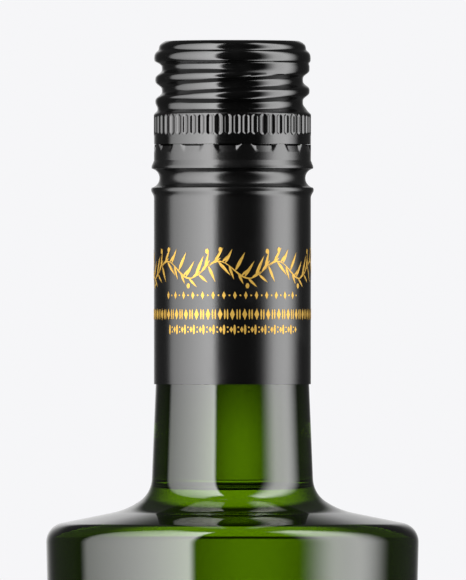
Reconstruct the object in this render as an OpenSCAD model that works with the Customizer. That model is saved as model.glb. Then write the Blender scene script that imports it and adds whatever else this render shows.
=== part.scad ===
// Oil bottle: pressed-and-blown glass bottle under a rolled-on aluminium screw cap with a long
// tamper-evident sleeve, a push-in pourer with a ball valve, and the oil.
// Z is the bottle's axis, z = 0 is the plane it stands on, and -Y is the front.

/* [Bottle] */
// Height of the glass, from the bearing ring to the mouth
bottle_h = 253.2; // [205:0.1:310]
// Diameter at the edge of the shoulder, before the edge is rounded
body_d = 75; // [62:0.5:92]
// Height of the shoulder's edge below the mouth
shoulder_drop = 94.7; // [84:0.1:115]
// Lean of the body's side: the body narrows towards the base, in degrees
body_taper = 1.35; // [0.5:0.05:2]
// Slope of the shoulder, in degrees from level
shoulder_slope = 11.4; // [8:0.1:16]
// Radius of the shoulder's outer edge
edge_r = 3.9; // [3:0.1:6]
// Taper of the neck, in degrees a side
neck_taper = 2.4; // [1.6:0.1:3]
// Radius of the tight curve at the foot of the neck
foot_r = 5.8; // [4.5:0.1:7]
// Radius of the easy curve that runs out onto the shoulder
sweep_r = 15.4; // [12:0.1:18]
// Slope where those two curves meet, in degrees
sweep_slope = 35; // [30:1:40]
// Wall of the body
wall = 3.2; // [2.2:0.1:4]
// Wall of the shoulder
shoulder_wall = 3.8; // [2.8:0.1:5]
// Bore at the foot of the neck
neck_bore_d = 24; // [20.5:0.1:25.5]
// Radius at the heel
heel_r = 5.5; // [4:0.1:8]
// Rise of the push-up under the base
punt_h = 6; // [3:0.1:10]
// Glass over the push-up
base_wall = 5; // [3:0.1:8]

/* [Glass finish] */
// Diameter at the root of the thread
finish_d = 27.5; // [22.9:0.1:33]
// Wall of the finish, which sets the bore of the mouth
finish_wall = 3.75; // [3:0.05:4.5]
// How far the thread ridge stands out
ridge_h = 0.87; // [0.6:0.01:0.9]
// Thread pitch
thread_pitch = 4.46; // [3.9:0.01:5.4]
// How far the locking ring stands out
ring_h = 1.35; // [1:0.05:1.6]
// Height of the locking ring's rim
ring_w = 1.6; // [1.2:0.1:1.8]

/* [Closure] */
// Thickness of the aluminium
sheet_t = 0.2; // [0.17:0.01:0.24]
// Height of the cap, from its top to the slit line
cap_h = 20.75; // [20.6:0.05:24]
// Height of the whole closure, cap and sleeve together
closure_h = 68.95; // [57:0.05:82]
// Depth of the rolled thread
thread_depth = 1.33; // [1.25:0.01:1.4]
// How far the knurled band stands out past the thread
band_step = 0.26; // [0.2:0.01:0.5]
// Number of knurls
knurls = 54; // [45:1:60]
// Depth of the knurls
knurl_depth = 0.32; // [0.1:0.01:0.35]
// Height of the slit that the bridges span
slit_h = 0.2; // [0.15:0.05:0.6]
// Number of bridges
bridges = 13; // [10:1:14]
// Width of a bridge, in degrees
bridge_angle = 7; // [5:0.5:9]
// Height of the dents below the slit
dent_h = 1.5; // [1.2:0.1:1.8]
// How far the two beads stand out
bead_h = 0.5; // [0.3:0.05:0.6]
// How far the rolled groove reaches in under the locking ring
tuck = 0.64; // [0.4:0.01:0.8]

/* [Liner and pourer] */
// Thickness of the liner's foam core
core_t = 1.5; // [1.2:0.05:2]
// Thickness of the liner's facing film
facing_t = 0.15; // [0.1:0.01:0.2]
// Thickness of the pourer's flange
flange_t = 0.8; // [0.6:0.05:1]
// Wall of the pourer's plug
plug_wall = 1; // [0.8:0.05:1.2]
// Depth of the plug in the bore
plug_h = 12; // [10:0.1:14]
// Height of the valve tube above the flow spreader
perch_h = 5.65; // [3:0.05:8]
// Width of the oil's way between the valve cup and its tube
passage = 1.79; // [1.5:0.01:2.4]
// How far the valve lifts off its seat
valve_travel = 2.5; // [1:0.1:3]
// How far the ball rolls on past the valve
ball_travel = 2.5; // [1:0.1:3]

/* [Oil] */
// Depth of the oil's surface below the mouth
fill_drop = 60; // [50:0.5:66]

/* [Clearances] */
// Between the cap's thread and the glass
thread_gap = 0.23; // [0.15:0.01:0.3]
// Between the sleeve's foot and the neck
neck_gap = 0.17; // [0.1:0.01:0.4]
// Between flat faces that only touch under load
face_gap = 0.05; // [0.03:0.01:0.1]
// Between plastic pieces that slide or snap together
snap_gap = 0.08; // [0.05:0.01:0.12]
// Between the oil and the glass
oil_gap = 0.1; // [0.05:0.01:0.3]

/* [Hidden] */
$fn = 96;
ARC_STEPS = 7;

// Heights of the closure's stack on the glass mouth
mouth_z = bottle_h;
flange_z = mouth_z + flange_t;
facing_z = flange_z + face_gap;
core_z = facing_z + facing_t;
cap_top_z = core_z + core_t + face_gap + sheet_t;
slit_z = cap_top_z - cap_h;
sleeve_top_z = slit_z - slit_h;
sleeve_foot_z = cap_top_z - closure_h;

// Radii of the finish and of the closure that is rolled onto it
finish_r = finish_d / 2;
bore_r = finish_r - finish_wall;
ring_r = finish_r + ring_h;
valley_r = finish_r + thread_gap + sheet_t;
crest_r = valley_r + thread_depth;
cap_r = crest_r + band_step;
skirt_in_r = cap_r - sheet_t;

// The rolled groove, seen from the side, is an arc between two beads
groove_w = 3.9;
groove_z = cap_top_z - 27.55;
groove_r = ring_r - tuck + sheet_t;
bead_r = cap_r + bead_h;
bead_lip = 0.35;
bead_run = 1.7;

// The locking ring sits just above the groove
ring_under_z = groove_z + groove_w / 2 + 0.2;
ring_over_z = ring_under_z + ring_w;

// Thread: a height on the helix falls by one pitch for each turn clockwise
valley_start_z = cap_top_z - 8.93;
valley_turns = [-402, 407];
valley_fades = [14, 100];
valley_top = [3.6, 4.9];
ridge_turns = [-80, 430];
ridge_fade = 30;
ridge_root_w = 2.8;
ridge_crest_w = 1;

// Outline of the neck and the shoulder
body_r = body_d / 2;
edge_z = mouth_z - shoulder_drop;
neck_top_z = ring_under_z - 1.4;
foot_run = foot_r * tan((90 - neck_taper - sweep_slope) / 2);
sweep_run = sweep_r * tan((sweep_slope - shoulder_slope) / 2);
foot_len = foot_run + sweep_run;

function side_r(z) = body_r - (edge_z - z) * tan(body_taper);
function shoulder_at(r) = edge_z + (body_r - r) * tan(shoulder_slope);
function neck_at(z) = skirt_in_r - neck_gap + (sleeve_foot_z - z) * tan(neck_taper);

// The foot of the neck is where the neck's line, going down, is one curve's height above the shoulder
foot_drop = foot_len * (sin(sweep_slope) - cos(sweep_slope) * tan(shoulder_slope));
foot_z = (shoulder_at(neck_at(0)) + foot_drop) / (1 - tan(neck_taper) * tan(shoulder_slope));
foot_x = neck_at(foot_z);
sweep_x = foot_x + foot_len * cos(sweep_slope);

// Base
punt_r = side_r(0) - heel_r - 3.8;
punt_flat_r = punt_r - 9;
ring_corner = 0.6;

// ---- outlines ----

function unit(v) = v / norm(v);
function turned(v, a) = [v.x * cos(a) - v.y * sin(a), v.x * sin(a) + v.y * cos(a)];

// The corner at b, between a and c, as an arc of radius r
function corner(a, b, c, r) =
    let (u = unit(a - b), w = unit(c - b), half = acos(u * w) / 2,
         centre = b + unit(u + w) * r / sin(half), from = b + u * r / tan(half) - centre,
         sweep = sign(u.x * w.y - u.y * w.x) * (180 - 2 * half))
    [for (i = [0:ARC_STEPS]) centre + turned(from, -sweep * i / ARC_STEPS)];

function flat2(p) = [p.x, p.y];

// An outline whose points are [x, y, radius of the corner there]
function rounded(points) =
    [for (i = [0:len(points) - 1])
        let (p = points[i], last = len(points) - 1)
        each (p.z == 0 || i == 0 || i == last) ? [flat2(p)]
            : corner(flat2(points[i - 1]), flat2(p), flat2(points[i + 1]), p.z)];

// Sheet of thickness t on the inside of an open outline that runs downwards
function sheet(line, t) =
    let (last = len(line) - 1)
    concat(line, [for (i = [last:-1:0])
        let (along = unit(line[min(i + 1, last)] - line[max(i - 1, 0)]))
        line[i] + t * [along.y, -along.x]]);

// ---- swept solids ----

// A solid through rings of equal numbers of points, closed by its first and last ring
module swept(rings) {
    n = len(rings[0]);
    last = len(rings) - 1;
    sides = [for (i = [0:last - 1], j = [0:n - 1])
        let (k = (j + 1) % n, a = i * n, b = a + n)
        each [[a + j, a + k, b + k], [a + j, b + k, b + j]]];
    first_end = [for (j = [n - 1:-1:0]) j];
    last_end = [for (j = [0:n - 1]) last * n + j];
    polyhedron([for (ring = rings) each ring], concat([first_end, last_end], sides));
}

// ---- glass ----

// The hollow of the bottle, shrunk by a gap on every side
function cavity(gap) =
    let (cone_drop = (shoulder_wall + gap) / cos(shoulder_slope),
         side = wall + gap, floor_z = base_wall + gap)
    [[neck_bore_d / 2 - gap, shoulder_at(neck_bore_d / 2) - cone_drop, foot_r + shoulder_wall],
     [side_r(edge_z) - side, shoulder_at(side_r(edge_z) - side) - cone_drop, edge_r + wall],
     [side_r(0) - side, floor_z, heel_r + 1.5],
     [punt_r, floor_z, 4],
     [punt_flat_r, punt_h + floor_z, 8],
     [0, punt_h + floor_z, 0]];

bore_end_z = sleeve_foot_z + 20;

module glass_ridge() {
    root_r = finish_r - 0.5;
    step = 10;
    swept([for (a = [ridge_turns[0]:step:ridge_turns[1]])
        let (fade = min(1, (a - ridge_turns[0]) / ridge_fade, (ridge_turns[1] - a) / ridge_fade),
             z = valley_start_z - thread_pitch / 2 + thread_pitch * a / 360,
             r = finish_r - 0.1 + (ridge_h + 0.1) * fade,
             aim = [cos(a - 90), sin(a - 90)])
        [[root_r * aim.x, root_r * aim.y, z - ridge_root_w / 2],
         [r * aim.x, r * aim.y, z - ridge_crest_w / 2],
         [r * aim.x, r * aim.y, z + ridge_crest_w / 2],
         [root_r * aim.x, root_r * aim.y, z + ridge_root_w / 2]]]);
}

module glass_bottle() {
    outside = [
        [0, punt_h, 0], [punt_flat_r, punt_h, 8], [punt_r, 0, ring_corner],
        [side_r(0), 0, heel_r], [body_r, edge_z, edge_r],
        [sweep_x, shoulder_at(sweep_x), sweep_r * 0.995], [foot_x, foot_z, foot_r * 0.995],
        [neck_at(neck_top_z), neck_top_z, 1], [ring_r, ring_under_z, 0.35],
        [ring_r, ring_over_z, 0.35], [finish_r, ring_over_z + 1.7, 0.8],
        [finish_r, mouth_z, 0.8], [bore_r, mouth_z, 0.7], [bore_r, bore_end_z, 40]];
    color([0.13, 0.22, 0.02, 0.8]) {
        rotate_extrude() polygon(rounded(concat(outside, cavity(0))));
        glass_ridge();
    }
}

module oil_fill() {
    fill_z = mouth_z - fill_drop;
    hollow = cavity(oil_gap);
    foot = hollow[0];
    bore = bore_r - oil_gap;
    share = (fill_z - foot.y) / (bore_end_z - foot.y);
    top_r = foot.x + (bore - foot.x) * min(1, share) - 0.1;
    color([0.55, 0.5, 0.05, 0.8])
        rotate_extrude() polygon(rounded(concat([[0, fill_z, 0], [top_r, fill_z, 0]], hollow)));
}

// ---- pourer ----

plug_r = bore_r - snap_gap;
plug_in_r = plug_r - plug_wall;
lip_r = plug_in_r - 2.4;
lip_wall = 0.8;
web_z = mouth_z - 3.5;
web_t = 1;
valve_top_z = web_z - 0.5;
valve_r = plug_in_r - snap_gap;
tube_r = valve_r - 1.25;
perch_r = tube_r + 0.4;
collar_t = 1.5;
collar_z = mouth_z - plug_h - face_gap;
cup_floor_t = 0.9;
cup_wall = 0.8;
cup_r = tube_r - passage;
cup_in_r = cup_r - cup_wall;
ball_r = cup_in_r - 0.5;
seat_t = 1;
seat_hole_r = cup_r - 1.4;
spreader_z = valve_top_z - perch_h;
ball_z = spreader_z - 0.4 - ball_travel - valve_travel - ball_r;
seat_z = ball_z - ball_r - face_gap - cup_floor_t;

module pourer_spout() {
    color("ivory") rotate_extrude() {
        polygon([
            [plug_in_r, mouth_z - plug_h], [plug_r - 0.3, mouth_z - plug_h],
            [plug_r, mouth_z - plug_h + 1.2], [plug_r, mouth_z - 1],
            [plug_r - 0.3, mouth_z], [finish_r - 0.6, mouth_z], [finish_r - 0.6, flange_z],
            [plug_in_r, flange_z], [plug_in_r, web_z + web_t], [lip_r, web_z + web_t],
            [lip_r, flange_z - 1], [lip_r + 0.5, flange_z - 0.2],
            [lip_r - lip_wall, flange_z - 0.4], [lip_r - lip_wall, web_z], [plug_in_r, web_z]]);
    }
}

module valve_body() {
    color("white") rotate_extrude() polygon([
        [seat_hole_r, seat_z - seat_t], [tube_r + 0.6, seat_z - seat_t],
        [valve_r, seat_z + 1.5], [valve_r, collar_z - collar_t],
        [plug_r - 0.4, collar_z - collar_t], [plug_r - 0.4, collar_z],
        [valve_r, collar_z], [valve_r, valve_top_z], [perch_r, valve_top_z],
        [perch_r, spreader_z], [tube_r, spreader_z], [tube_r, seat_z],
        [seat_hole_r + 0.5, seat_z]]);
}

module float_valve() {
    nose_r = seat_hole_r - 0.25;
    color("gainsboro") rotate_extrude() polygon([
        [0, seat_z - 0.7], [nose_r - 0.4, seat_z - 0.7], [nose_r, seat_z],
        [nose_r, seat_z + face_gap], [cup_r, seat_z + face_gap],
        [cup_r, seat_z + ball_r], [cup_in_r, seat_z + ball_r],
        [cup_in_r, seat_z + cup_floor_t], [0, seat_z + cup_floor_t]]);
}

module valve_ball() {
    color([0.85, 0.9, 0.9]) translate([0, 0, ball_z]) sphere(r = ball_r);
}

module flow_spreader() {
    ring_out_r = perch_r - snap_gap;
    ring_in_r = ring_out_r - 0.9;
    dish_r = ball_r - 0.3;
    dish_t = 0.9;
    spoke_w = 1;
    spokes = 3;
    color("white") {
        rotate_extrude() polygon([
            [0, spreader_z], [dish_r, spreader_z], [dish_r - 0.6, spreader_z + dish_t],
            [0, spreader_z + dish_t + 0.5]]);
        rotate_extrude() polygon([
            [ring_in_r, spreader_z], [ring_out_r, spreader_z],
            [ring_out_r, spreader_z + 1.4], [ring_in_r, spreader_z + 1.4]]);
        for (i = [0:spokes - 1])
            rotate([0, 0, 360 / spokes * i])
                translate([dish_r - 1, -spoke_w / 2, spreader_z])
                    cube([ring_in_r + 0.3 - dish_r + 1, spoke_w, 0.7]);
    }
}

// ---- closure ----

bridge_pitch = 360 / bridges;
bridge_turn = 3.3;
dent_top_angle = bridge_pitch - bridge_angle;

module neck_sleeve() {
    half = groove_w / 2;
    sag = bead_r - 0.35 - groove_r;
    bow_r = (half * half + sag * sag) / (2 * sag);
    bow = asin(half / bow_r);
    groove = [for (i = [-6:6])
        let (a = i / 6 * bow)
        [groove_r + bow_r - bow_r * cos(a), groove_z - bow_r * sin(a)]];
    over = groove_z + half;
    under = groove_z - half;
    line = concat(
        [[cap_r, sleeve_top_z], [cap_r, over + bead_lip + bead_run]],
        [[cap_r + 0.18, over + bead_lip + 0.9], [bead_r - 0.04, over + bead_lip], [bead_r, over + 0.15]],
        groove,
        [[bead_r, under - 0.25], [bead_r, under - bead_lip - 0.15],
         [cap_r + 0.25, under - bead_lip - 0.6], [cap_r, under - bead_lip - bead_run],
         [cap_r, sleeve_foot_z]]);
    // Each dent is a flat tab between two slanting cuts, pressed in behind the sheet
    dent_w = 2 * cap_r * sin(dent_top_angle / 2);
    tab_w = dent_w - 1.7;
    press_in = cap_r - cap_r * cos(dent_top_angle / 2) + 0.15;
    color([0.05, 0.05, 0.05]) rotate([0, 0, bridge_turn]) {
        difference() {
            rotate_extrude() polygon(sheet(line, sheet_t));
            for (i = [0:bridges - 1])
                rotate([0, 0, bridge_pitch * (i + 0.5)])
                    translate([cap_r - 2, 0, sleeve_top_z])
                        rotate([90, 0, 90])
                            linear_extrude(height = 4)
                                polygon([[-dent_w / 2, 1], [-dent_w / 2, 0], [-tab_w / 2, -dent_h],
                                         [tab_w / 2, -dent_h], [dent_w / 2, 0], [dent_w / 2, 1]]);
        }
        for (i = [0:bridges - 1])
            rotate([0, 0, bridge_pitch * (i + 0.5)])
                translate([cap_r - press_in - sheet_t, 0, sleeve_top_z])
                    rotate([90, 0, 90])
                        linear_extrude(height = sheet_t + 0.1)
                            polygon([[-tab_w / 2, 0], [-tab_w / 2, -dent_h - 0.4],
                                     [tab_w / 2, -dent_h - 0.4], [tab_w / 2, 0]]);
    }
}

module tamper_bridges() {
    break_gap = 0.06;
    color([0.05, 0.05, 0.05])
        for (i = [0:bridges - 1])
            rotate([0, 0, bridge_turn + bridge_pitch * i - bridge_angle / 2])
                rotate_extrude(angle = bridge_angle)
                    polygon([[skirt_in_r, sleeve_top_z], [cap_r, sleeve_top_z],
                             [cap_r, slit_z - break_gap], [skirt_in_r, slit_z - break_gap]]);
}

liner_r = cap_r - 2.4;

module liner_facing() {
    color("silver") translate([0, 0, facing_z]) cylinder(r = liner_r, h = facing_t);
}

module liner_core() {
    color("white") translate([0, 0, core_z]) cylinder(r = liner_r, h = core_t);
}

// Radius of the plain cap at a depth below its top, before the thread is rolled in
function blank_r(d) = cap_r - lookup(d, [
    [0, 2.39], [0.2, 1.94], [0.4, 1.61], [0.8, 1.2], [1.7, 0.97], [2.2, 0.49], [2.5, 0.26], [2.9, 0.1],
    [4.1, 0.06], [5, band_step], [12.6, band_step], [13.6, 0.74], [14.1, 0.65], [15, 0]]);

// A rise from 0 to 1 between two ends
function rise(x, ends) = max(0, min(1, (x - ends[0]) / (ends[1] - ends[0])));

// How deep the thread is rolled in, from 0 to 1, at a depth and a heading
function rolled(d, heading) =
    rise(d, valley_top) * max([for (turn = [-1:1])
        let (a = heading + 360 * turn,
             off = (cap_top_z - d - valley_start_z) / thread_pitch - a / 360,
             s = abs(off) < 0.5 ? (1 + cos(360 * off)) / 2 : 0,
             fade = rise(a, [valley_turns[0], valley_turns[0] + valley_fades[0]])
                  * rise(a, [valley_turns[1], valley_turns[1] - valley_fades[1]]))
        s * s * (3 - 2 * s) * fade]);

module cap_shell() {
    n = knurls * 2;
    knurl_top = 15;
    knurl_foot = 18.8;
    thread_rows = 14;
    thread_from = 4.1;
    thread_to = 13.6;
    rows = concat(
        [0, 0.2, 0.4, 0.8, 1.7, 2.5, 2.9],
        [for (i = [0:thread_rows]) thread_from + (thread_to - thread_from) * i / thread_rows],
        [14.1, knurl_top, knurl_top + 0.4, knurl_foot - 0.4, knurl_foot, cap_h]);
    inner_rows = [for (i = [len(rows) - 1:-1:2]) if (rows[i] != 2.9) rows[i]];
    function knurl(d, j) = (j % 2 == 1 && d > knurl_top && d < knurl_foot) ? knurl_depth : 0;
    function ring(d, inset, z) =
        [for (j = [0:n - 1])
            let (a = 360 * j / n, heading = a <= 180 ? a : a - 360,
                 blank = blank_r(d),
                 r = blank - (blank - valley_r) * rolled(d, heading) - knurl(d, j) - inset)
            [r * cos(a - 90), r * sin(a - 90), z]];
    color([0.05, 0.05, 0.05])
        swept(concat(
            [for (d = rows) ring(d, 0, cap_top_z - d)],
            [for (d = inner_rows) ring(d, sheet_t, cap_top_z - d)],
            [ring(0.1, sheet_t, cap_top_z - sheet_t)]));
}

glass_bottle();
oil_fill();
pourer_spout();
valve_body();
float_valve();
valve_ball();
flow_spreader();
neck_sleeve();
tamper_bridges();
liner_facing();
liner_core();
cap_shell();
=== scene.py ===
import math

import bmesh
import bpy
import numpy as np
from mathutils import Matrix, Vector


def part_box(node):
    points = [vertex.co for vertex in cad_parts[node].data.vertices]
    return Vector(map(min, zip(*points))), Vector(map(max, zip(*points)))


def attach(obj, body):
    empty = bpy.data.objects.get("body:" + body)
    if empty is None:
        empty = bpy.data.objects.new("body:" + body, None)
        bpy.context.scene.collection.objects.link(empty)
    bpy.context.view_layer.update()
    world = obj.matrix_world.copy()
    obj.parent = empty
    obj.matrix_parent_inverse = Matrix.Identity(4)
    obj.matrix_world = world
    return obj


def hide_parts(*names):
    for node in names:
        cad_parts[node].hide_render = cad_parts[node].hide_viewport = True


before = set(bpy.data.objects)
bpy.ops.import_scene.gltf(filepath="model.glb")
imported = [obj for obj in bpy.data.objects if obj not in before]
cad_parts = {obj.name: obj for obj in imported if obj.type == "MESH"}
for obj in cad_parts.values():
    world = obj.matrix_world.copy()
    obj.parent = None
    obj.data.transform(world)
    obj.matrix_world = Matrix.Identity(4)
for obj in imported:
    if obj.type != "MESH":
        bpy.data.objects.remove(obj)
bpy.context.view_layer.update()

# ---------------------------------------------------------------- glass bottle
# Olive-green container glass, pressed and blown in a two-part mould. It stands on a narrow bearing
# ring round a push-up, and its finish carries a turn and a half of thread ridge over a locking ring.
# Sizes are in millimetres up to the moment a mesh is made; z = 0 is the plane that it stands on.

MM = 0.001
CAP_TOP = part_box("cap_shell")[1].z / MM
MOUTH = CAP_TOP - 2.75
FINISH_R = 13.75
BORE_R = 10.0
RING_R = 15.1
RING_UNDER = 230.55
RING_OVER = 232.15
THREAD_PITCH = 4.46
VALLEY_START = CAP_TOP - 8.93
RIDGE_TURNS = (-80.0, 430.0)
RIDGE_H = 0.87
BODY_R = 37.5
EDGE_Z = MOUTH - 94.7
SIDE_LEAN = math.tan(math.radians(1.35))
SHOULDER_LEAN = math.radians(11.4)
SLEEVE_FOOT = CAP_TOP - 68.95
PUNT_H = 6.0
WALL = 3.2
SHOULDER_WALL = 3.8
FLOOR = 5.0
HEEL_R = 5.5
BEARING_INSET = 3.8
PUNT_RUN = 9.0
NECK_BORE_R = 12.0
FILL_Z = MOUTH - 60.0
GLASS_TINT = (0.080, 0.178, 0.0013, 1)
DEEP_TINT = (0.009, 0.022, 0.0006, 1)


def side_r(z):
    """Outer radius of the body's leaning side."""
    return BODY_R - (EDGE_Z - z) * SIDE_LEAN


BEARING_R = side_r(0) - HEEL_R - BEARING_INSET


def shoulder_at(r):
    """Height of the shoulder's cone at a radius."""
    return EDGE_Z + (BODY_R - r) * math.tan(SHOULDER_LEAN)


def rounded(points, steps=14):
    """An outline of (radius, height) from corners given as (radius, height, radius of the corner)."""
    line = []
    for i, (x, y, r) in enumerate(points):
        if r == 0 or i in (0, len(points) - 1):
            line.append((x, y))
            continue
        here = np.array((x, y))
        back = np.array(points[i - 1][:2]) - here
        ahead = np.array(points[i + 1][:2]) - here
        back /= np.linalg.norm(back)
        ahead /= np.linalg.norm(ahead)
        half = math.acos(np.clip(back @ ahead, -1, 1)) / 2
        between = (back + ahead) / np.linalg.norm(back + ahead)
        centre = here + between * r / math.sin(half)
        start = here + back * r / math.tan(half) - centre
        turn = -math.copysign(math.pi - 2 * half, back[0] * ahead[1] - back[1] * ahead[0])
        for k in range(steps + 1):
            c, s = math.cos(turn * k / steps), math.sin(turn * k / steps)
            line.append(tuple(centre + (start[0] * c - start[1] * s, start[0] * s + start[1] * c)))
    return line


def spaced(line, longest):
    """The same outline with no step longer than a given length."""
    out = [line[0]]
    for a, b in zip(line, line[1:]):
        n = max(1, math.ceil(math.dist(a, b) / longest))
        out += [(a[0] + (b[0] - a[0]) * k / n, a[1] + (b[1] - a[1]) * k / n) for k in range(1, n + 1)]
    return out


def crease(mesh, degrees):
    """Smooth shading, but sharp along edges that turn by more than an angle."""
    mesh.shade_smooth()
    bm = bmesh.new()
    bm.from_mesh(mesh)
    for edge in bm.edges:
        edge.smooth = len(edge.link_faces) == 2 and edge.calc_face_angle() < math.radians(degrees)
    bm.to_mesh(mesh)
    bm.free()


def placed(name, mesh):
    """A mesh as an object of the scene, at the origin."""
    obj = bpy.data.objects.new(name, mesh)
    bpy.context.scene.collection.objects.link(obj)
    return obj


def turned(name, line, around, relief=None, closed=False, sharp=40, marks=None):
    """A solid of revolution. relief(radius, height, heading) adds to the radius; heading 0 is the front.
    marks are (attribute name, one value for each step of the outline)."""
    heading = np.linspace(0, 2 * math.pi, around, endpoint=False)
    verts, faces, rings, marked = [], [], [], []
    for r, z in line:
        if r < 1e-6:
            rings.append([len(verts)])
            verts.append((0, 0, z * MM))
            continue
        radius = r + (relief(r, z, heading) if relief else 0 * heading)
        rings.append(range(len(verts), len(verts) + around))
        verts += zip(radius * np.sin(heading) * MM, -radius * np.cos(heading) * MM, [z * MM] * around)
    pairs = list(zip(rings, rings[1:])) + ([(rings[-1], rings[0])] if closed else [])
    for step, (a, b) in enumerate(pairs):
        for j in range(around):
            k = (j + 1) % around
            if len(a) == 1:
                faces.append((a[0], b[k], b[j]))
            elif len(b) == 1:
                faces.append((a[j], a[k], b[0]))
            else:
                faces.append((a[j], a[k], b[k], b[j]))
            marked.append(marks[1][step] if marks else 0.0)
    mesh = bpy.data.meshes.new(name)
    mesh.from_pydata(verts, [], faces)
    if marks:
        mesh.attributes.new(marks[0], "FLOAT", "FACE").data.foreach_set("value", marked)
    bm = bmesh.new()
    bm.from_mesh(mesh)
    bmesh.ops.recalc_face_normals(bm, faces=bm.faces)
    bm.to_mesh(mesh)
    bm.free()
    crease(mesh, sharp)
    return placed(name, mesh)


class Wire:
    """One output of a node. Arithmetic on it adds Math nodes to its tree."""

    def __init__(self, socket):
        self.socket = socket
        self.tree = socket.id_data

    @staticmethod
    def add(tree, kind, settings=None, inputs=None, out=0):
        """A node of any type: its settings first, then the values or links of its sockets."""
        node = tree.nodes.new(kind)
        for key, value in (settings or {}).items():
            setattr(node, key, value)
        for key, value in (inputs or {}).items():
            if isinstance(value, Wire):
                tree.links.new(value.socket, node.inputs[key])
            else:
                node.inputs[key].default_value = value
        return Wire(node.outputs[out])

    def math(self, operation, *others):
        inputs = dict(enumerate((self, *others)))
        return Wire.add(self.tree, "ShaderNodeMath", {"operation": operation}, inputs)

    def __add__(self, other):
        return self.math("ADD", other)

    def __mul__(self, other):
        return self.math("MULTIPLY", other)

    def __sub__(self, other):
        return self.math("SUBTRACT", other)

    def __rsub__(self, other):
        return self * -1 + other

    def __truediv__(self, other):
        return self.math("DIVIDE", other)

    def __neg__(self):
        return self * -1

    __radd__ = __add__
    __rmul__ = __mul__

    def ease(self, low, high):
        """0 below low, 1 above high, and an easy curve between."""
        settings = {"interpolation_type": "SMOOTHSTEP"}
        inputs = {0: self, 1: low, 2: high, 3: 0.0, 4: 1.0}
        return Wire.add(self.tree, "ShaderNodeMapRange", settings, inputs)

    def parts(self):
        """The three numbers of a vector."""
        node = Wire.add(self.tree, "ShaderNodeSeparateXYZ", None, {0: self}).socket.node
        return [Wire(out) for out in node.outputs]

    def to(self, socket):
        self.tree.links.new(self.socket, socket)


def finish(name):
    """A material with an empty tree, its output node, and the Object coordinates."""
    material = bpy.data.materials.new(name)
    material.use_nodes = True
    tree = material.node_tree
    tree.nodes.clear()
    out = tree.nodes.new("ShaderNodeOutputMaterial")
    place = Wire.add(tree, "ShaderNodeTexCoord", out="Object")
    return material, tree, out, place


def mottle(place, scale, detail=2.0, stretch=(1, 1, 1)):
    """Noise from 0 to 1. scale is in patches a metre, and stretch multiplies it along each axis."""
    spot = Wire.add(place.tree, "ShaderNodeMapping", None, {"Vector": place, "Scale": stretch})
    inputs = {"Vector": spot, "Scale": scale, "Detail": detail}
    return Wire.add(place.tree, "ShaderNodeTexNoise", None, inputs)


def bumped(height, distance, strength=1.0):
    """A normal from a height between 0 and 1 and what that is in metres."""
    inputs = {"Strength": strength, "Distance": distance, "Height": height}
    return Wire.add(height.tree, "ShaderNodeBump", None, inputs)


def blend(share, first, second):
    """A colour between two colours."""
    inputs = {0: share, 6: first, 7: second}
    return Wire.add(share.tree, "ShaderNodeMix", {"data_type": "RGBA"}, inputs, 2)


def green_glass():
    """The colour is in the dry skin. Oil bends light as much as glass does, so the wetted wall is unseen.
    The tint darkens up the neck, from 172 mm to full at 195 mm, behind the sleeve."""
    material, tree, out, place = finish("green_glass")
    x, y, z = place.parts()
    ripple = mottle(place, 38, 1.0, (1, 1, 0.35)) * 0.9 + mottle(place, 150, 1.0) * 0.08
    seam = (1 - y.math("ABSOLUTE").ease(0.00008, 0.0003)) * z.ease(0.004, 0.008) * (1 - z.ease(0.246, 0.25))
    normal = bumped(ripple * 0.03 + seam * 0.12, 0.001, 0.3)
    tint = blend(z.ease(0.172, 0.195), GLASS_TINT, DEEP_TINT)
    clear = {"Transmission Weight": 1.0, "Roughness": 0.0}
    dry = Wire.add(tree, "ShaderNodeBsdfPrincipled", None,
                   clear | {"Base Color": tint, "IOR": 1.52, "Normal": normal})
    wet = Wire.add(tree, "ShaderNodeBsdfPrincipled", None, clear | {"Base Color": (1, 1, 1, 1), "IOR": 1.0})
    wetted = Wire.add(tree, "ShaderNodeAttribute", {"attribute_name": "wetted"}, None, "Fac")
    Wire.add(tree, "ShaderNodeMixShader", None, {0: wetted, 1: dry, 2: wet}).to(out.inputs["Surface"])
    return material


def cavity(gap):
    """The bottle's hollow, drawn in by a gap on every side, from its neck to the middle of its floor. The
    corner at the side is too wide for the floor, so the outline crosses itself there."""
    drop = (SHOULDER_WALL + gap) / math.cos(SHOULDER_LEAN)
    side = WALL + gap
    floor = FLOOR + gap
    return [
        (BORE_R - gap, SLEEVE_FOOT + 20, 40),
        (NECK_BORE_R - gap, shoulder_at(NECK_BORE_R) - drop, 9.6),
        (side_r(EDGE_Z) - side, shoulder_at(side_r(EDGE_Z) - side) - drop, 7.1),
        (side_r(0) - side, floor, 7), (BEARING_R, floor, 4),
        (BEARING_R - PUNT_RUN, PUNT_H + floor, 8), (0, PUNT_H + floor, 0)]


def thread_ridge(r, z, heading):
    """The ridge on the finish. It rises to the right, and both of its ends fade out."""
    out = np.zeros_like(heading)
    if abs(r - FINISH_R) > 0.05 or z < RING_OVER + 1.9:
        return out
    for turn in (-1, 0, 1, 2):
        a = np.degrees(heading) + 360 * turn
        away = np.abs(z - (VALLEY_START - THREAD_PITCH / 2 + THREAD_PITCH * a / 360))
        fade = np.clip(np.minimum(a - RIDGE_TURNS[0], RIDGE_TURNS[1] - a) / 30, 0, 1)
        rise = np.clip((1.4 - away) / 0.9, 0, 1)
        out = np.maximum(out, RIDGE_H * rise * rise * (3 - 2 * rise) * fade)
    return out


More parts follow.
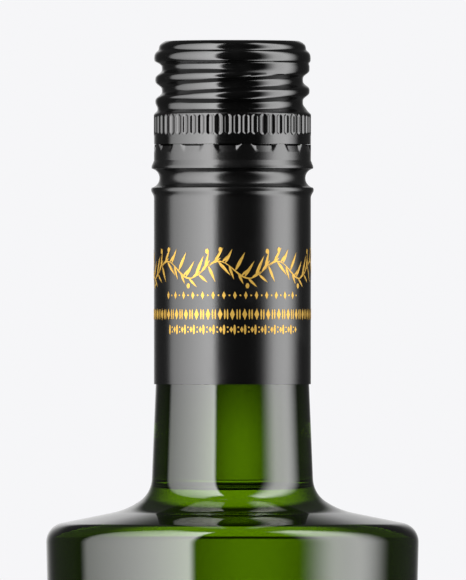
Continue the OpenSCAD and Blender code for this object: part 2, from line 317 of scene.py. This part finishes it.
outer_wall = rounded([
    (0, PUNT_H, 0), (BEARING_R - PUNT_RUN, PUNT_H, 8), (BEARING_R, 0, 0.6), (side_r(0), 0, HEEL_R),
    (BODY_R, EDGE_Z, 3.9), (21.3, shoulder_at(21.3), 15.3), (16.32, 165.1, 5.75),
    (13.69, RING_UNDER - 1.4, 1), (RING_R, RING_UNDER, 0.35), (RING_R, RING_OVER, 0.35),
    (FINISH_R, RING_OVER + 1.7, 0.8),
    (FINISH_R, MOUTH, 0.8), (BORE_R, MOUTH, 0.7)] + cavity(0))
thread_from = next(i for i, (r, z) in enumerate(outer_wall) if abs(r - FINISH_R) < 0.02 and z > RING_OVER)
thread_to = next(i for i in range(thread_from, len(outer_wall)) if outer_wall[i][1] > MOUTH - 2)
threaded = spaced(outer_wall[thread_from:thread_to + 1], 0.3)
outer_wall = outer_wall[:thread_from] + threaded + outer_wall[thread_to + 1:]
mouth_at = max(range(len(outer_wall)), key=lambda i: outer_wall[i][1])
filled = next(i for i in range(mouth_at, len(outer_wall)) if outer_wall[i][1] < FILL_Z)
(r_above, z_above), (r_below, z_below) = outer_wall[filled - 1:filled + 1]
level_r = r_above + (r_below - r_above) * (z_above - FILL_Z) / (z_above - z_below)
outer_wall.insert(filled, (level_r, FILL_Z))
wetted_steps = [float(i >= filled) for i in range(len(outer_wall) - 1)]
bottle = turned("green_bottle", outer_wall, 256, thread_ridge, marks=("wetted", wetted_steps))
bottle.data.materials.append(green_glass())
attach(bottle, "bottle")
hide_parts("glass_bottle")

# ---------------------------------------------------------------- oil
# Olive oil filled to just above the foot of the sleeve. It wets the glass, so where they touch there
# is no mirror between them, and its free surface creeps up the wall a little.

OIL_GAP = 0.03
OIL_TINT = (0.965, 0.985, 0.2)
OIL_DENSITY = 30.0


def olive_oil():
    material, tree, out, place = finish("olive_oil")
    haze = blend(mottle(place, 25, 1.0), (1, 0.98, 0.86, 1), (1, 1, 0.95, 1))
    clear = {"Base Color": haze, "Transmission Weight": 1.0, "Roughness": 0.0, "IOR": 1.0}
    Wire.add(tree, "ShaderNodeBsdfPrincipled", None, clear).to(out.inputs["Surface"])
    body = {"Color": (*OIL_TINT, 1), "Density": OIL_DENSITY}
    Wire.add(tree, "ShaderNodeVolumeAbsorption", None, body).to(out.inputs["Volume"])
    return material


CREEP_R = level_r - OIL_GAP - 0.06
creep = [(0, FILL_Z), (CREEP_R - 2.4, FILL_Z), (CREEP_R - 1.4, FILL_Z + 0.12),
         (CREEP_R - 0.7, FILL_Z + 0.42), (CREEP_R, FILL_Z + 0.8)]
under = [(r, z) for r, z in rounded([(BORE_R - OIL_GAP, MOUTH, 0)] + cavity(OIL_GAP)) if z < FILL_Z - 0.5]
oil = turned("oil", creep + under, 192)
oil.data.materials.append(olive_oil())
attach(oil, "bottle")
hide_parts("oil_fill")

# ---------------------------------------------------------------- pourer
# A push-in pourer of natural polyethylene, moulded in one shot: a plug that grips the bore, a flange
# on the mouth, and a thin lip that cuts the drip. The valve and the ball guard the way back in.

PLUG_R = BORE_R - 0.08
LIP_R = PLUG_R - 3.4


def moulded_plastic(name, colour, shade, rough):
    """Moulded plastic: a faint cloud in its colour, and the fine grain of a spark-cut mould."""
    material, tree, out, place = finish(name)
    cloud = mottle(place, 180, 2.0)
    grain = mottle(place, 5200, 2.0)
    inputs = {
        "Base Color": blend(cloud, (*colour, 1), (*shade, 1)),
        "Roughness": cloud * 0.1 + grain * 0.12 + rough,
        "Subsurface Weight": 0.25, "Subsurface Radius": (0.004, 0.0035, 0.003), "Subsurface Scale": 0.25,
        "IOR": 1.5, "Normal": bumped(grain, 0.00004, 0.6)}
    Wire.add(tree, "ShaderNodeBsdfPrincipled", None, inputs).to(out.inputs["Surface"])
    return material


natural_plastic = moulded_plastic("natural_polyethylene", (0.86, 0.82, 0.70), (0.80, 0.76, 0.62), 0.32)
plug_foot = MOUTH - 12
flange = MOUTH + 0.8
web = MOUTH - 3.5
pourer = turned("pourer", rounded([
    (PLUG_R - 1, plug_foot, 0), (PLUG_R - 0.3, plug_foot, 0.15), (PLUG_R, plug_foot + 1.2, 0.4),
    (PLUG_R, MOUTH - 1, 0.2), (PLUG_R - 0.3, MOUTH, 0.12), (FINISH_R - 0.6, MOUTH, 0.15),
    (FINISH_R - 0.6, flange, 0.3), (PLUG_R - 1, flange, 0.35), (PLUG_R - 1, web + 1, 0.5),
    (LIP_R, web + 1, 0.5), (LIP_R, flange - 1, 0.9), (LIP_R + 0.5, flange - 0.2, 0.12),
    (LIP_R - 0.8, flange - 0.4, 0.5), (LIP_R - 0.8, web, 0.3), (PLUG_R - 1, web, 0.3),
    (PLUG_R - 1, plug_foot, 0)], 5)[:-1], 160, closed=True)
pourer.data.materials.append(natural_plastic)
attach(pourer, "bottle")
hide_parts("pourer_spout")


def clothe(node, material):
    """Gives a node of the CAD model its finish. Its shape is already the real one."""
    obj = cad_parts[node]
    obj.data.materials.clear()
    obj.data.materials.append(material)


white_plastic = moulded_plastic("white_polypropylene", (0.84, 0.84, 0.81), (0.78, 0.78, 0.75), 0.3)
clothe("valve_body", white_plastic)
clothe("float_valve", white_plastic)
clothe("flow_spreader", white_plastic)


def ball_glass():
    """Soda-lime glass with a ground skin."""
    material, tree, out, place = finish("clear_glass_ball")
    scuff = mottle(place, 900, 3.0)
    inputs = {"Base Color": (0.93, 0.97, 0.96, 1), "Transmission Weight": 1.0, "IOR": 1.5,
              "Roughness": scuff * 0.06 + 0.01, "Normal": bumped(scuff, 0.00003, 0.4)}
    Wire.add(tree, "ShaderNodeBsdfPrincipled", None, inputs).to(out.inputs["Surface"])
    return material


clothe("valve_ball", ball_glass())

# ---------------------------------------------------------------- liner
# A wad of expanded polyethylene with a thin facing film, cut as a disc and pressed into the cap. It
# seals on the pourer's flange, which leaves a faint ring in the film.


def liner_film():
    material, tree, out, place = finish("liner_film")
    x, y, z = place.parts()
    radius = (x * x + y * y).math("SQRT")
    ring = radius.ease(0.0098, 0.0103) * (1 - radius.ease(0.0128, 0.0133))
    crinkle = mottle(place, 700, 3.0)
    inputs = {"Base Color": blend(crinkle, (0.86, 0.87, 0.88, 1), (0.78, 0.79, 0.80, 1)),
              "Metallic": 0.55, "Roughness": 0.34 - ring * 0.12 + crinkle * 0.1,
              "Normal": bumped(crinkle * 0.5 - ring * 0.8, 0.00008, 0.7)}
    Wire.add(tree, "ShaderNodeBsdfPrincipled", None, inputs).to(out.inputs["Surface"])
    return material


def liner_foam():
    material, tree, out, place = finish("liner_foam")
    cells = Wire.add(tree, "ShaderNodeTexVoronoi", None, {"Vector": place, "Scale": 2600.0})
    inputs = {"Base Color": blend(cells, (0.80, 0.80, 0.78, 1), (0.9, 0.9, 0.88, 1)),
              "Roughness": 0.75 - cells * 0.1, "Normal": bumped(cells, 0.00008, 0.6)}
    Wire.add(tree, "ShaderNodeBsdfPrincipled", None, inputs).to(out.inputs["Surface"])
    return material


clothe("liner_facing", liner_film())
clothe("liner_core", liner_foam())

# ---------------------------------------------------------------- screw cap
# The cap is one drawing of 0.2 mm aluminium, lacquered black before it is drawn. It was knurled as a
# plain shell, then rolled onto the glass, which pressed the thread's valleys in. Here a flat blank is
# rolled up by a tree of nodes that presses the valleys and the knurls, and the sheet is thickened.

SHEET = 0.2
CAP_H = 20.75
CAP_R = 15.77
VALLEY_R = FINISH_R + 0.23 + SHEET
VALLEY_TURNS = (-440.0, 430.0)
LEVEL_TURNS = (-345.0, 302.0)
KNURLS = 54
KNURL_TOP = 14.75
KNURL_FOOT = 18.95
KNURL_CORNER = 0.45
KNURL_SLOPE = 0.43
KNURL_LIP_H = 0.03
KNURL_LIP_OUT = 0.04
KNURL_LIP_HALF = 0.12

cap_outline = [  # depth below the top, and radius
    (0.0, 13.38), (0.06, 13.56), (0.2, 13.83), (0.4, 14.16), (0.7, 14.5), (0.95, 14.66), (1.3, 14.76),
    (1.6, 14.79), (1.8, 14.86), (2.0, 15.02), (2.2, 15.28), (2.4, 15.46), (2.7, 15.61), (3.0, 15.70),
    (3.5, 15.73), (4.0, 15.71), (4.22, 15.63), (4.42, 15.42), (4.62, 15.38), (4.85, 15.45), (5.2, 15.51),
    (12.4, 15.51), (12.9, 15.36), (13.3, 15.13), (13.65, 15.03), (14.0, 15.09), (14.25, 15.3),
    (14.5, 15.58), (14.65, 15.7), (14.8, 15.76), (15.0, CAP_R), (CAP_H, CAP_R)]


def black_lacquer(name, rough, grain_height, streak):
    """Stove lacquer on aluminium: nearly black, with orange peel, fine grain, and drawing streaks."""
    material, tree, out, place = finish(name)
    x, y, z = place.parts()
    peel = mottle(place, 900, 2.0)
    grain = mottle(place, 6500, 2.0)
    heading = x.math("ARCTAN2", y)
    round_wall = Wire.add(tree, "ShaderNodeCombineXYZ", None, {0: heading * 0.0158, 1: z * 0.02})
    drawn = mottle(round_wall, 2600, 2.0)
    rub = mottle(place, 120, 3.0).ease(0.5, 0.75)
    inputs = {
        "Base Color": blend(rub, (0.0012, 0.0012, 0.0012, 1), (0.0028, 0.0028, 0.0028, 1)),
        "Roughness": grain * 0.06 + drawn * streak + rub * 0.03 + rough,
        "IOR": 1.52,
        "Normal": bumped(grain * 0.7 + peel * 0.5 + drawn * streak * 2, grain_height, 0.8)}
    Wire.add(tree, "ShaderNodeBsdfPrincipled", None, inputs).to(out.inputs["Surface"])
    return material


def blank(name, headings, line):
    """A flat grid that stands for sheet not yet rolled: x is the heading in radians, y and z are in metres
    the depth below the cap's top and the radius that each row is rolled to."""
    rows = [[(h, d * MM, r * MM) for h in headings] for d, r in line]
    n = len(headings)
    faces = [(i * n + j, i * n + j + 1, (i + 1) * n + j + 1, (i + 1) * n + j)
             for i in range(len(rows) - 1) for j in range(n - 1)]
    mesh = bpy.data.meshes.new(name)
    mesh.from_pydata([p for row in rows for p in row], [], faces)
    return placed(name, mesh)


def named_inputs(tree, sizes):
    """Adds the geometry and the named sizes as the tree's inputs, and gives a Wire for each."""
    tree.interface.new_socket("Geometry", in_out="INPUT", socket_type="NodeSocketGeometry")
    tree.interface.new_socket("Geometry", in_out="OUTPUT", socket_type="NodeSocketGeometry")
    for name, value in sizes.items():
        kind = {int: "NodeSocketInt", float: "NodeSocketFloat"}.get(type(value), "NodeSocketMaterial")
        tree.interface.new_socket(name, in_out="INPUT", socket_type=kind)
    node = tree.nodes.new("NodeGroupInput")
    return [Wire(out) for out in node.outputs if out.name]


def grown(obj, tree, result, sizes):
    """Runs a tree on an object and leaves its result as the object's own plain mesh."""
    whole = Wire.add(tree, "GeometryNodeRealizeInstances", None, {0: result})
    painted = Wire.add(tree, "GeometryNodeSetMaterial", None,
                       {"Geometry": whole, "Material": named(tree, "Material")})
    painted.to(tree.nodes.new("NodeGroupOutput").inputs[0])
    modifier = obj.modifiers.new("grow", "NODES")
    modifier.node_group = tree
    for item in tree.interface.items_tree:
        if item.in_out == "INPUT" and item.name in sizes:
            modifier[item.identifier] = sizes[item.name]
    seen = obj.evaluated_get(bpy.context.evaluated_depsgraph_get())
    mesh = bpy.data.meshes.new_from_object(seen)
    obj.modifiers.clear()
    obj.data = mesh
    bm = bmesh.new()
    bm.from_mesh(mesh)
    bmesh.ops.recalc_face_normals(bm, faces=bm.faces)
    bm.to_mesh(mesh)
    bm.free()
    return obj


def thickened(obj, sharp):
    """Gives a rolled sheet its thickness, inwards, as the object's own plain mesh."""
    thick = obj.modifiers.new("sheet", "SOLIDIFY")
    thick.thickness = SHEET * MM
    thick.offset = -1
    obj.data = bpy.data.meshes.new_from_object(obj.evaluated_get(bpy.context.evaluated_depsgraph_get()))
    obj.modifiers.clear()
    crease(obj.data, sharp)


def named(tree, name):
    """The tree's input of that name."""
    node = next(n for n in tree.nodes if n.type == "GROUP_INPUT")
    return Wire(node.outputs[name])


def least(first, *others):
    for other in others:
        first = first.math("MINIMUM", other)
    return first


def roll_up(tree, geometry, heading, depth, radius):
    """Rolls a flat blank into a wall round the axis, and closes it where its two ends meet."""
    place = Wire.add(tree, "ShaderNodeCombineXYZ", None, {
        0: radius * heading.math("SINE"), 1: -(radius * heading.math("COSINE")), 2: CAP_TOP * MM - depth})
    moved = Wire.add(tree, "GeometryNodeSetPosition", None, {"Geometry": geometry, "Position": place})
    return Wire.add(tree, "GeometryNodeMergeByDistance", None, {"Geometry": moved, "Distance": 1e-6})


cap_sizes = {
    "Pitch": THREAD_PITCH * MM, "First valley": (CAP_TOP - VALLEY_START) * MM,
    "Valley radius": VALLEY_R * MM,
    "Starts at turn": VALLEY_TURNS[0] / 360, "Ends at turn": VALLEY_TURNS[1] / 360,
    "Level from turn": LEVEL_TURNS[1] / 360, "Level before turn": LEVEL_TURNS[0] / 360,
    "Foot fade in turns": 45 / 360, "Top fade in turns": 100 / 360,
    "No valley above": 3.6 * MM, "Full below": 4.9 * MM,
    "Full above": 13.9 * MM, "No valley below": 14.6 * MM,
    "Knurls": KNURLS, "Knurl top": KNURL_TOP * MM, "Knurl foot": KNURL_FOOT * MM, "Knurl depth": 0.24 * MM,
    "Knurl half width": 0.72 * MM, "Material": black_lacquer("black_gloss_lacquer", 0.09, 0.000004, 0.02)}
tree = bpy.data.node_groups.new("rolled_cap", "GeometryNodeTree")
named_inputs(tree, cap_sizes)
heading, depth, radius = Wire.add(tree, "GeometryNodeInputPosition").parts()
pressed = None
for turn in (-1, 0, 1):
    a = heading / (2 * math.pi) + turn
    level = least(a, named(tree, "Level from turn")).math("MAXIMUM", named(tree, "Level before turn"))
    off = (named(tree, "First valley") - depth) / named(tree, "Pitch") - level
    near = 1 - (off.math("ABSOLUTE") * 2).math("MINIMUM", 1.0)
    swell = (near * math.pi).math("COSINE") * -0.5 + 0.5
    foot = (a - named(tree, "Starts at turn")).ease(0.0, named(tree, "Foot fade in turns"))
    top = (named(tree, "Ends at turn") - a).ease(0.0, named(tree, "Top fade in turns"))
    valley = swell * swell * (3 - 2 * swell) * foot * top
    pressed = valley if pressed is None else pressed.math("MAXIMUM", valley)
pressed = pressed * depth.ease(named(tree, "No valley above"), named(tree, "Full below"))
pressed = pressed * (1 - depth.ease(named(tree, "Full above"), named(tree, "No valley below")))
phase = (heading * named(tree, "Knurls") / (2 * math.pi)).math("FRACT")
across = (phase - 0.5).math("ABSOLUTE") * (2 * math.pi * CAP_R * MM) / named(tree, "Knurls")
from_end = least(depth - named(tree, "Knurl top"), named(tree, "Knurl foot") - depth)
inward = least(named(tree, "Knurl half width") - across, from_end,
               (named(tree, "Knurl half width") - across + from_end - KNURL_CORNER * MM) * math.sqrt(0.5))
wall = inward.ease(0.0, KNURL_SLOPE * MM)
from_lip = ((inward + KNURL_LIP_OUT * MM) / (KNURL_LIP_HALF * MM)).math("ABSOLUTE")
lip = (1 - from_lip.math("MINIMUM", 1.0)) * (KNURL_LIP_H * MM)
radius = radius - (radius - named(tree, "Valley radius")) * pressed
radius = radius - wall * named(tree, "Knurl depth") + lip
result = roll_up(tree, named(tree, "Geometry"), heading, depth, radius)

in_knurl = np.array([0, 0.09, 0.14, 0.19, 0.3, 0.4, 0.6, 0.7, 0.81, 0.86, 0.91])
headings = [2 * math.pi * (k + p) / KNURLS - math.pi for k in range(KNURLS) for p in in_knurl] + [math.pi]
rows = sorted({round(d, 3) for d in np.concatenate([
    [d for d, _ in cap_outline if d < 5], np.arange(5.15, 14.6, 0.32), np.arange(14.62, 15.4, 0.11),
    [15.8, 16.8, 17.8], np.arange(18.25, 19.15, 0.11), [19.6, CAP_H]])})
radii = np.interp(rows, *zip(*cap_outline))
top_plate = [(0.0, r) for r in (0.0001, 4.0, 8.0, 10.2, 11.6, 12.4)]
cap = blank("screw_cap", headings, top_plate + list(zip(rows, radii)))
grown(cap, tree, result, cap_sizes)
thickened(cap, 42)
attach(cap, "cap")
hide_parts("cap_shell")

# ---------------------------------------------------------------- sleeve
# The long skirt below the slit stays on the neck when the cap comes off. It is the same drawn and
# lacquered sheet, satin here. Thirteen tabs are pressed in under the slit, and a groove rolled in
# between two beads holds the sleeve under the locking ring.

BRIDGES = 13
SLIT = 0.08
TAB_TURN = math.radians(-3.6)
sleeve_outline = [
    (CAP_H + SLIT, CAP_R), (24.0, 15.77), (24.2, 15.84), (24.4, 15.93), (24.6, 16.0), (24.8, 16.08),
    (25.05, 16.19), (25.3, 16.24), (25.5, 16.24), (25.62, 16.2)]
groove_half = 1.9
groove_depth = 1.5
groove_bow = (groove_half ** 2 + groove_depth ** 2) / (2 * groove_depth)
for k in range(-8, 9):
    a = math.asin(groove_half / groove_bow) * k / 8
    sleeve_outline.append((27.55 + groove_bow * math.sin(a), 14.66 + groove_bow * (1 - math.cos(a))))
sleeve_outline += [
    (29.55, 16.26), (29.75, 16.33), (30.0, 16.33), (30.25, 16.28), (30.5, 16.15), (30.75, 16.0),
    (31.0, 15.88), (31.3, 15.79), (31.6, CAP_R), (68.8, CAP_R), (68.95, CAP_R - 0.03)]

sleeve_sizes = {
    "Tabs": BRIDGES, "Slit at": (CAP_H + SLIT) * MM, "Tab height": 1.55 * MM, "Tab press": 0.45 * MM,
    "Curl": 0.3 * MM, "Turned by": TAB_TURN, "Top half width": 2.85 * MM, "Foot half width": 1.9 * MM,
    "Flat half width": 1.7 * MM,
    "Material": black_lacquer("black_satin_lacquer", 0.17, 0.00001, 0.03)}
tree = bpy.data.node_groups.new("rolled_sleeve", "GeometryNodeTree")
named_inputs(tree, sleeve_sizes)
heading, depth, radius = Wire.add(tree, "GeometryNodeInputPosition").parts()
phase = ((heading - named(tree, "Turned by")) * named(tree, "Tabs") / (2 * math.pi) + 0.5).math("FRACT")
across = (phase - 0.5).math("ABSOLUTE") * (2 * math.pi * CAP_R * MM) / named(tree, "Tabs")
down = ((depth - named(tree, "Slit at")) / named(tree, "Tab height")).math("MINIMUM", 1.0)
outer = named(tree, "Top half width") * (1 - down) + named(tree, "Foot half width") * down
share = (outer - across) / (outer - named(tree, "Flat half width"))
share = share.math("MINIMUM", 1.0).math("MAXIMUM", 0.0)
curl = (1 - (depth - named(tree, "Slit at")).ease(0.0, named(tree, "Curl"))) * named(tree, "Curl")
radius = radius - (named(tree, "Tab press") * (1 - down) + curl) * share
result = roll_up(tree, named(tree, "Geometry"), heading, depth, radius)

half_tab = [3.4, 3.0, 2.85, 2.65, 2.45, 2.25, 2.05, 1.9, 1.8, 1.7, 1.2, 0.6]
in_tab = [-w for w in half_tab] + [0.0] + half_tab[::-1]
headings = [TAB_TURN + 2 * math.pi * k / BRIDGES + w / CAP_R for k in range(BRIDGES) for w in in_tab]
headings.append(headings[0] + 2 * math.pi)
rows = sorted({round(d, 3) for d in np.concatenate([
    CAP_H + SLIT + np.array([0, 0.08, 0.16, 0.24, 0.32, 0.5, 0.7, 0.9, 1.1, 1.3, 1.55]), [22.9, 23.4],
    [d for d, _ in sleeve_outline[1:]], np.arange(33, 68, 2.5)])})
depths, profile = zip(*sorted(sleeve_outline))
sleeve = blank("neck_sleeve_skirt", headings, list(zip(rows, np.interp(rows, depths, profile))))
grown(sleeve, tree, result, sleeve_sizes)
thickened(sleeve, 14)
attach(sleeve, "bottle")
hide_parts("neck_sleeve")
clothe("tamper_bridges", sleeve_sizes["Material"])

# ---------------------------------------------------------------- gold foil
# Hot-stamped gold foil on the sleeve: a branch of olive leaves and a frieze that run right round, and two
# short rows of plain ornament at the front. Each mark is a flat piece of foil, laid out in millimetres
# along the sleeve and down from the cap's top, then repeated and wrapped on by a tree of nodes.

FOIL_IN = CAP_R + 0.012
FOIL_OUT = CAP_R + 0.035
FOIL_STEP = 0.001
BRANCH_D = 46.0
BRANCH_WAVE = 1.7
BRANCH_REPEATS = 8
FRIEZE_REPEATS = 40


def leaf(x, d, length, width, lean):
    """A pointed leaf from its stalk at (x, d). A lean of 0 points right, and 90 points up."""
    out = []
    for side in (1, -1):
        for k in range(9) if side > 0 else range(7, 0, -1):
            t = k / 8
            along, off = length * t, side * width / 2 * math.sin(math.pi * t ** 0.8) * (1 - 0.25 * t)
            c, s = math.cos(math.radians(lean)), math.sin(math.radians(lean))
            out.append((x + along * c - off * s, d - along * s - off * c))
    return out


def disc(x, d, wide, tall, sides=14):
    """An ellipse, or with four sides a lozenge."""
    turns = [2 * math.pi * k / sides for k in range(sides)]
    return [(x + wide / 2 * math.cos(t), d - tall / 2 * math.sin(t)) for t in turns]


def ribbon(points, widths):
    """A stroke through points whose width changes along it."""
    line = np.array(points, float)
    along = np.gradient(line, axis=0)
    along /= np.linalg.norm(along, axis=1)[:, None]
    off = np.stack([-along[:, 1], along[:, 0]], 1) * (np.array(widths) / 2)[:, None]
    return [tuple(p) for p in np.concatenate([line + off, (line - off)[::-1]])]


def foil_marks(name, outlines):
    """Flat foil pieces, not yet wrapped: x is the heading, y and z are depth and radius in metres. Each
    stands a step off its neighbours, so that two that cross don't share a face."""
    bm = bmesh.new()
    for k, outline in enumerate(outlines):
        lift = FOIL_STEP * (k % 5)
        low = [bm.verts.new((x / CAP_R, d * MM, (FOIL_IN + lift) * MM)) for x, d in outline]
        high = [bm.verts.new((x / CAP_R, d * MM, (FOIL_OUT + lift) * MM)) for x, d in outline]
        bm.faces.new(low[::-1])
        bm.faces.new(high)
        for i in range(len(low)):
            j = (i + 1) % len(low)
            bm.faces.new((low[i], low[j], high[j], high[i]))
    mesh = bpy.data.meshes.new(name)
    bm.to_mesh(mesh)
    bm.free()
    return placed(name, mesh)


def gold_foil():
    """Gold-lacquered aluminium foil, brushed on by a hot die and a little worn."""
    material, tree, out, place = finish("gold_foil")
    wear = mottle(place, 900, 3.0)
    sheen = mottle(place, 90, 1.0)
    inputs = {"Base Color": blend(sheen, (0.33, 0.185, 0.028, 1), (0.44, 0.275, 0.045, 1)),
              "Metallic": 0.6, "Roughness": wear * 0.12 + 0.42, "Normal": bumped(wear, 0.000006, 0.5)}
    Wire.add(tree, "ShaderNodeBsdfPrincipled", None, inputs).to(out.inputs["Surface"])
    return material


def stamped(name, outlines, count, pitch, first, foil):
    """Repeats the marks along the sleeve at a pitch in millimetres, and wraps them on."""
    sizes = {"Count": count, "Pitch": pitch / CAP_R, "First": first / CAP_R, "Material": foil}
    tree = bpy.data.node_groups.new(name, "GeometryNodeTree")
    named_inputs(tree, sizes)
    start = Wire.add(tree, "ShaderNodeCombineXYZ", None, {0: named(tree, "First")})
    step = Wire.add(tree, "ShaderNodeCombineXYZ", None, {0: named(tree, "Pitch")})
    line = Wire.add(tree, "GeometryNodeMeshLine", {"mode": "OFFSET"},
                    {"Count": named(tree, "Count"), "Start Location": start, "Offset": step})
    copies = Wire.add(tree, "GeometryNodeInstanceOnPoints", None,
                      {"Points": line, "Instance": named(tree, "Geometry")})
    flat = Wire.add(tree, "GeometryNodeRealizeInstances", None, {0: copies})
    heading, depth, radius = Wire.add(tree, "GeometryNodeInputPosition").parts()
    result = roll_up(tree, flat, heading, depth, radius)
    obj = grown(foil_marks(name, outlines), tree, result, sizes)
    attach(obj, "bottle")


def stem(t):
    """The point of the branch's stem at a share t of its repeat."""
    return repeat * t, BRANCH_D + BRANCH_WAVE * math.sin(2 * math.pi * t)


foil = gold_foil()
round_sleeve = 2 * math.pi * CAP_R
repeat = round_sleeve / BRANCH_REPEATS
shares = np.linspace(0, 1, 33)
branch = [ribbon([stem(t) for t in shares], [0.26 + 0.1 * math.sin(4 * math.pi * t) for t in shares])]
for t, lean, length, width in (
        (0.02, 62, 4.3, 0.72), (0.07, -64, 2.4, 0.55), (0.12, 40, 2.6, 0.5), (0.17, 58, 3.9, 0.62),
        (0.23, -44, 2.6, 0.55), (0.29, 36, 2.4, 0.5), (0.35, 66, 4.7, 0.72), (0.41, -40, 2.6, 0.55),
        (0.46, 52, 3.1, 0.6), (0.52, 76, 3.5, 0.6), (0.58, -66, 3.6, 0.62), (0.63, 30, 2.3, 0.5),
        (0.68, 58, 3.5, 0.6), (0.74, -48, 3.9, 0.65), (0.81, 44, 2.6, 0.55), (0.86, 64, 3.2, 0.6),
        (0.92, -70, 3.0, 0.55)):
    branch.append(leaf(*stem(t), length, width, lean))
for t, d in ((0.22, 49.2), (0.78, 42.0), (0.56, 42.3)):
    branch.append(disc(repeat * t, d, 0.75, 1.05))
stamped("foil_branch", branch, BRANCH_REPEATS, repeat, 0.3, foil)
beads = [disc(0, 51.1, 0.75, 1.6, 4), disc(1.1, 51.1, 0.36, 0.36)]
stamped("foil_beads", beads, 14, 2.2, -14.9, foil)
frieze = [disc(0, 54.9, 1.0, 2.3, 4), disc(0.95, 54.9, 0.34, 2.1, 12), disc(1.5, 54.9, 0.34, 2.1, 12)]
stamped("foil_frieze", frieze, FRIEZE_REPEATS, round_sleeve / FRIEZE_REPEATS, 0, foil)
sprays = [disc(0, 57.95, 0.5, 2.0, 12), disc(0.75, 57.5, 0.36, 0.36), disc(0.75, 58.4, 0.36, 0.36),
          disc(1.45, 57.95, 0.7, 1.3, 4)]
stamped("foil_sprays", sprays, 14, 2.12, -14.4, foil)

# ---------------------------------------------------------------- studio
# A pale round floor that fades out, a pale backdrop behind the bottle, one long softbox close by on the
# left and one further off on the right. What is seen through the glass is a soft glow behind it and the
# lit table. The lens is long, so the camera stands well back.

STUDIO = {"back": 1.05, "left": 13.2, "right": 9.0, "front": 0.015, "behind": 0.07}
FLOOR_R = 1.2
FLOOR_SIDES = 96
FLOOR_DROP = 0.00005


def paper():
    material, tree, out, place = finish("floor_paper")
    x, y, z = place.parts()
    fade = (x * x + y * y).math("SQRT").ease(0.5, 1.15)
    tooth = mottle(place, 900, 3.0)
    inputs = {"Base Color": blend(tooth, (0.27, 0.27, 0.275, 1), (0.28, 0.28, 0.285, 1)), "Roughness": 0.8}
    sheet = Wire.add(tree, "ShaderNodeBsdfPrincipled", None, inputs)
    gone = Wire.add(tree, "ShaderNodeBsdfTransparent")
    Wire.add(tree, "ShaderNodeMixShader", None, {0: fade, 1: sheet, 2: gone}).to(out.inputs["Surface"])
    return material


floor_mesh = bpy.data.meshes.new("floor")
turns = np.linspace(0, 2 * math.pi, FLOOR_SIDES, endpoint=False)
edge = [(FLOOR_R * math.cos(a), FLOOR_R * math.sin(a), -FLOOR_DROP) for a in turns]
floor_mesh.from_pydata(edge, [], [tuple(range(FLOOR_SIDES))])
floor = placed("floor", floor_mesh)
floor.data.materials.append(paper())
floor.visible_glossy = False
floor.visible_transmission = False

# Angles are in degrees. Azimuth 0 is towards the camera, and it grows to the right.
world = bpy.data.worlds.new("studio")
bpy.context.scene.world = world
world.use_nodes = True
tree = world.node_tree
tree.nodes.clear()
x, y, z = Wire.add(tree, "ShaderNodeTexCoord", out="Generated").parts()
azimuth = x.math("ARCTAN2", -y) * (180 / math.pi)
elevation = z.math("ARCSINE") * (180 / math.pi)
to_left = -azimuth
upright = (1 - elevation.ease(68, 76)) * elevation.ease(-86, -82)
fall = Wire.add(tree, "ShaderNodeMapRange", None, {0: to_left, 1: 25.0, 2: 110.0, 3: 1.0, 4: 0.16})
left = to_left.ease(22, 28) * (1 - to_left.ease(101, 110)) * fall * STUDIO["left"] * upright
right = azimuth.ease(41, 69) * (1 - azimuth.ease(83, 116)) * STUDIO["right"] * upright
away = 180 - azimuth.math("ABSOLUTE")
across = (away * azimuth.math("SIGN") + 4.5) / 15
through = Wire.add(tree, "ShaderNodeLightPath", out="Is Transmission Ray")
glow = (across * across * -1).math("EXPONENT") * elevation.ease(-10, -8) * (1 - elevation.ease(14, 24))
table = elevation.ease(-48, -40) * (1 - elevation.ease(-15, -12)) * ((1 - away.ease(14, 40)) * 1.2 + 0.1)
back = (glow + table * through) * STUDIO["back"] + (1 - away.ease(60, 80)) * STUDIO["behind"]
boxes = (left + right) * (1 - through)
light = Wire.add(tree, "ShaderNodeBackground", None, {"Strength": boxes + back + STUDIO["front"]})
wall = Wire.add(tree, "ShaderNodeBackground", None, {"Color": (0.922, 0.922, 0.938, 1)})
seen = Wire.add(tree, "ShaderNodeLightPath", out="Is Camera Ray")
Wire.add(tree, "ShaderNodeMixShader", None, {0: seen, 1: light, 2: wall}).to(
    tree.nodes.new("ShaderNodeOutputWorld").inputs["Surface"])

VIEW_H = 0.1165162
VIEW_MIDDLE = CAP_TOP * MM - 0.0500216
DISTANCE = 3.6
CAMERA_X = 0.00012053
CAMERA_Z = 0.2
SENSOR = 36
lens = bpy.data.cameras.new("camera")
lens.sensor_width = SENSOR
lens.lens = SENSOR * DISTANCE / VIEW_H
lens.shift_y = (VIEW_MIDDLE - CAMERA_Z) / VIEW_H
lens.clip_end = 50
camera = bpy.data.objects.new("camera", lens)
bpy.context.scene.collection.objects.link(camera)
camera.location = (CAMERA_X, -DISTANCE, CAMERA_Z)
camera.rotation_euler = (math.pi / 2, 0, 0)
bpy.context.scene.camera = camera
bpy.context.scene.view_settings.view_transform = "Standard"
bpy.context.scene.cycles.max_bounces = 20
bpy.context.scene.cycles.transmission_bounces = 20
